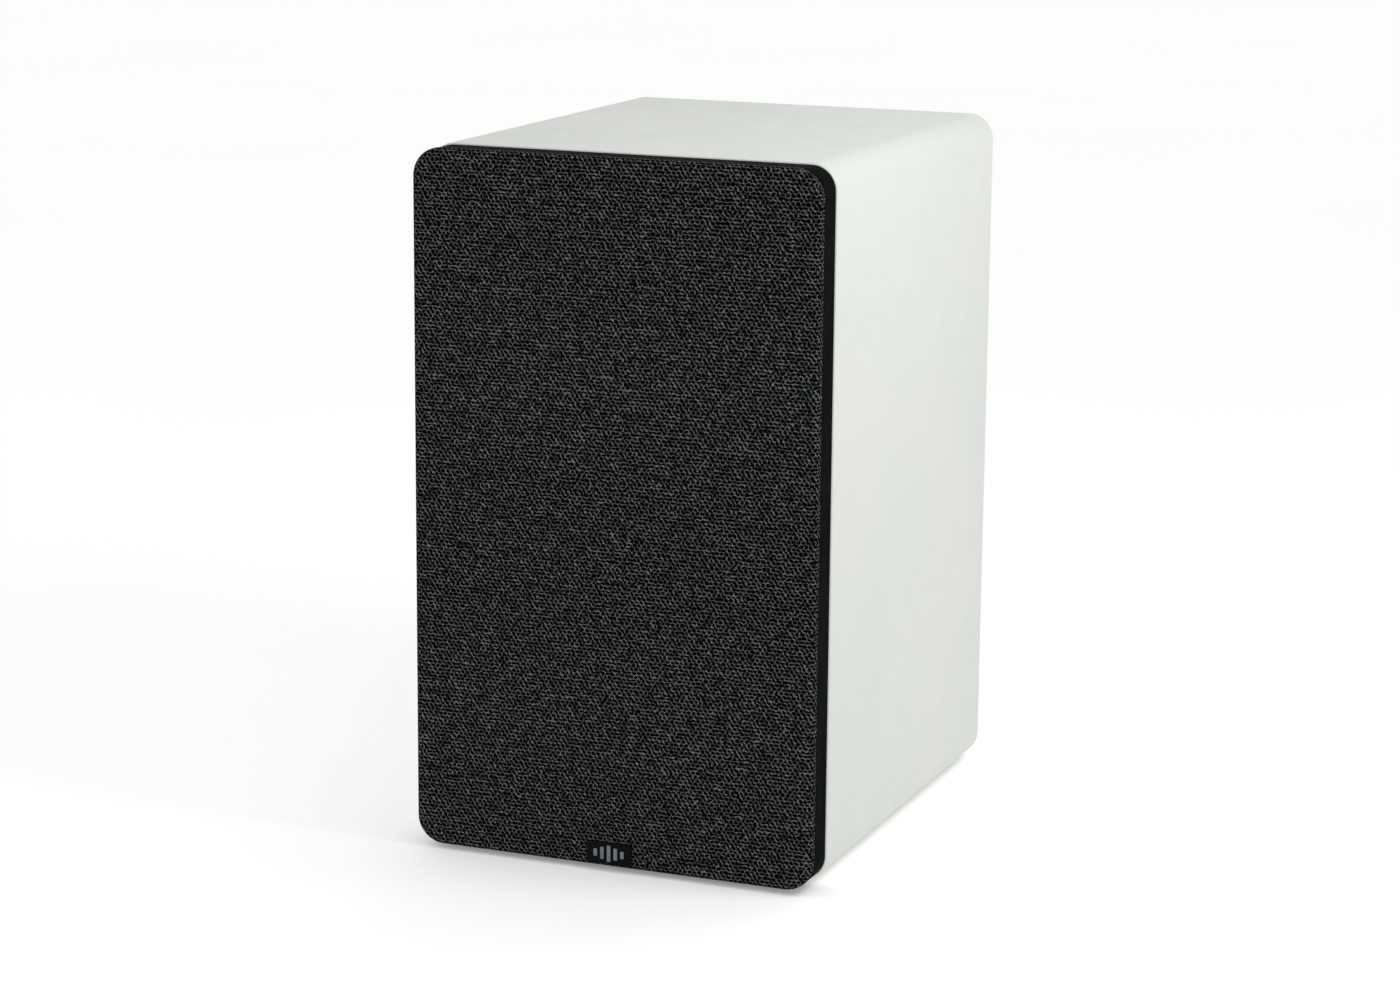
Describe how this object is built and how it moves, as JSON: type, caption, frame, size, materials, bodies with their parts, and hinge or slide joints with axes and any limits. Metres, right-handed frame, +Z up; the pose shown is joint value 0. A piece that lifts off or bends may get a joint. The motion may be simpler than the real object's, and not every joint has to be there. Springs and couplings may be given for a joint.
{
  "type": "bookshelf speaker",
  "caption": "Passive bookshelf speaker with a rounded white cabinet, black baffle, dark cloth grille that pulls off, rear port and binding posts.",
  "frame": {"origin": "centre of the footprint, on the surface that the feet stand on", "axes": "+Z up, the grille faces -Y, the terminals face +Y, +X is the viewer's right when the grille is faced"},
  "size_m": [0.196, 0.245, 0.327],
  "materials": {
    "white_lacquer": "satin white lacquer over fibreboard",
    "black_lacquer": "satin black lacquer over fibreboard",
    "fibreboard": "raw fibreboard",
    "wadding": "loose polyester wadding",
    "rubber_black": "matt",
    "grille_plastic": "moulded matt black",
    "grille_cloth": "open charcoal knit with light grey threads",
    "badge_black": "gloss black",
    "badge_metal": "satin with bright edges",
    "basket_paint": "matt black powder coat",
    "cone_paper": "coated dark grey pulp",
    "cap_plastic": "matt",
    "former_paper": "smooth kraft",
    "copper_wire": "enamelled copper winding",
    "spider_cloth": "resin-dipped weave",
    "plated_steel": "bright zinc plate",
    "ferrite": "ground dark grey ferrite",
    "tag_board": "phenolic board with tinned tabs",
    "black_steel": "black oxide",
    "faceplate_plastic": "fine-textured black",
    "dome_silk": "coated silk",
    "port_plastic": "moulded matt black",
    "post_brass": "gold plated",
    "knob_red": "clear-coated red",
    "knob_black": "clear-coated black",
    "circuit_board": "green solder mask",
    "capacitor_film": "dark blue film sleeve",
    "resistor_ceramic": "matt white cement",
    "wire_jacket": "flexible jacket"
  },
  "bodies": {
    "cabinet": {"cabinet_wrap": "white_lacquer", "rear_panel": "white_lacquer", "front_baffle": "black_lacquer", "perforated_brace": "fibreboard", "damping_pads": "wadding", "rubber_feet": "rubber_black", "grille_sockets": "rubber_black", "woofer_basket": "basket_paint", "woofer_trim_ring": "rubber_black", "woofer_surround": "rubber_black", "woofer_spider": "spider_cloth", "woofer_top_plate": "plated_steel", "woofer_magnet": "ferrite", "woofer_yoke": "plated_steel", "woofer_terminals": "tag_board", "woofer_screws": "black_steel", "tweeter_faceplate": "faceplate_plastic", "tweeter_suspension": "dome_silk", "tweeter_top_plate": "plated_steel", "tweeter_magnet": "ferrite", "tweeter_yoke": "plated_steel", "tweeter_rear_cup": "faceplate_plastic", "tweeter_terminals": "tag_board", "tweeter_screws": "black_steel", "port_tube": "port_plastic", "terminal_cup": "port_plastic", "terminal_gasket": "rubber_black", "terminal_screws": "black_steel", "post_left": "post_brass", "post_right": "post_brass", "collar_left": "knob_red", "collar_right": "knob_black", "post_nuts": "plated_steel", "solder_tags": "post_brass", "crossover_board": "circuit_board", "crossover_capacitors": "capacitor_film", "crossover_inductors": "copper_wire", "crossover_resistors": "resistor_ceramic", "board_screws": "plated_steel", "input_wires": "wire_jacket", "woofer_wires": "wire_jacket", "tweeter_wires": "wire_jacket"},
    "grille": {"grille_frame": "grille_plastic", "grille_fabric": "grille_cloth", "badge_plate": "badge_black", "badge_bars": "badge_metal"},
    "woofer_cone_assembly": {"woofer_cone": "cone_paper", "woofer_dust_cap": "cap_plastic", "woofer_former": "former_paper", "woofer_coil": "copper_wire"},
    "tweeter_dome_assembly": {"tweeter_dome": "dome_silk", "tweeter_coil": "copper_wire"},
    "left_clamp": {"washer_left": "post_brass"},
    "left_knob": {"knob_left": "knob_red"},
    "right_clamp": {"washer_right": "post_brass"},
    "right_knob": {"knob_right": "knob_black"}
  },
  "joints": [
    {"name": "grille_pull", "type": "slide", "parent": "cabinet", "child": "grille", "axis": [0, -1, 0], "range_m": [0, 0.06]},
    {"name": "woofer_stroke", "type": "slide", "parent": "cabinet", "child": "woofer_cone_assembly", "axis": [0, -1, 0], "range_m": [-0.005, 0.005], "stiffness_N_per_m": 800, "deforming": ["woofer_surround", "woofer_spider"]},
    {"name": "tweeter_stroke", "type": "slide", "parent": "cabinet", "child": "tweeter_dome_assembly", "axis": [0, -1, 0], "range_m": [-0.0005, 0.0005], "stiffness_N_per_m": 300, "deforming": ["tweeter_suspension"]},
    {"name": "left_knob_lift", "type": "slide", "parent": "cabinet", "child": "left_clamp", "axis": [0, 1, 0], "range_m": [0, 0.005]},
    {"name": "left_knob_turn", "type": "hinge", "parent": "left_clamp", "child": "left_knob", "pos_m": [-0.0095, 0.11, 0.086], "axis": [0, 1, 0], "range_deg": [0, 1800]},
    {"name": "right_knob_lift", "type": "slide", "parent": "cabinet", "child": "right_clamp", "axis": [0, 1, 0], "range_m": [0, 0.005]},
    {"name": "right_knob_turn", "type": "hinge", "parent": "right_clamp", "child": "right_knob", "pos_m": [0.0095, 0.11, 0.086], "axis": [0, 1, 0], "range_deg": [0, 1800]}
  ],
  "couplings": [
    {"joint": "left_knob_turn", "follows": "left_knob_lift", "rad_per_m": 6283.2},
    {"joint": "right_knob_turn", "follows": "right_knob_lift", "rad_per_m": 6283.2}
  ]
}
